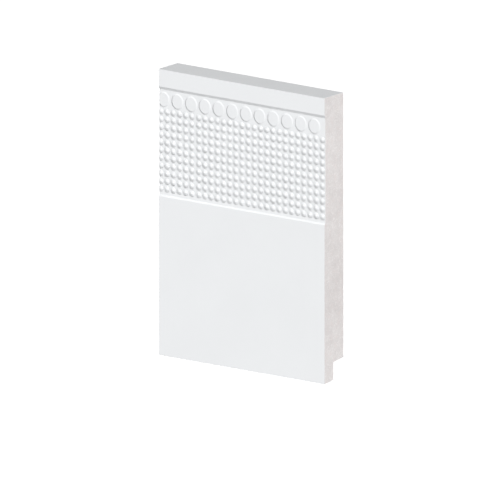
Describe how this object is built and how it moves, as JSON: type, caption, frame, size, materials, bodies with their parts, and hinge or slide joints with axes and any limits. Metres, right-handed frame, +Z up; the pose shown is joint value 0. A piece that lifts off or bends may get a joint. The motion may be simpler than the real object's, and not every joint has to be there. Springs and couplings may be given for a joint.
{
  "type": "skirting board",
  "caption": "Tall white painted fibreboard skirting with a shallow band of oval discs and small domes and a rebated back, covering the joint between a wall and a floor.",
  "frame": {"origin": "mid length and mid thickness of the board, at floor level", "axes": "+X along the board to the right of someone facing the decorated face, +Y out of the back face towards the wall, +Z up from the floor to the top edge"},
  "size_m": [0.12, 0.018, 0.17],
  "materials": {
    "painted_board": "white satin paint on the face, top and bottom edge; bare fibreboard on the sawn ends, the back and the rebate"
  },
  "bodies": {
    "root": {"skirting_board": "painted_board"}
  },
  "joints": []
}
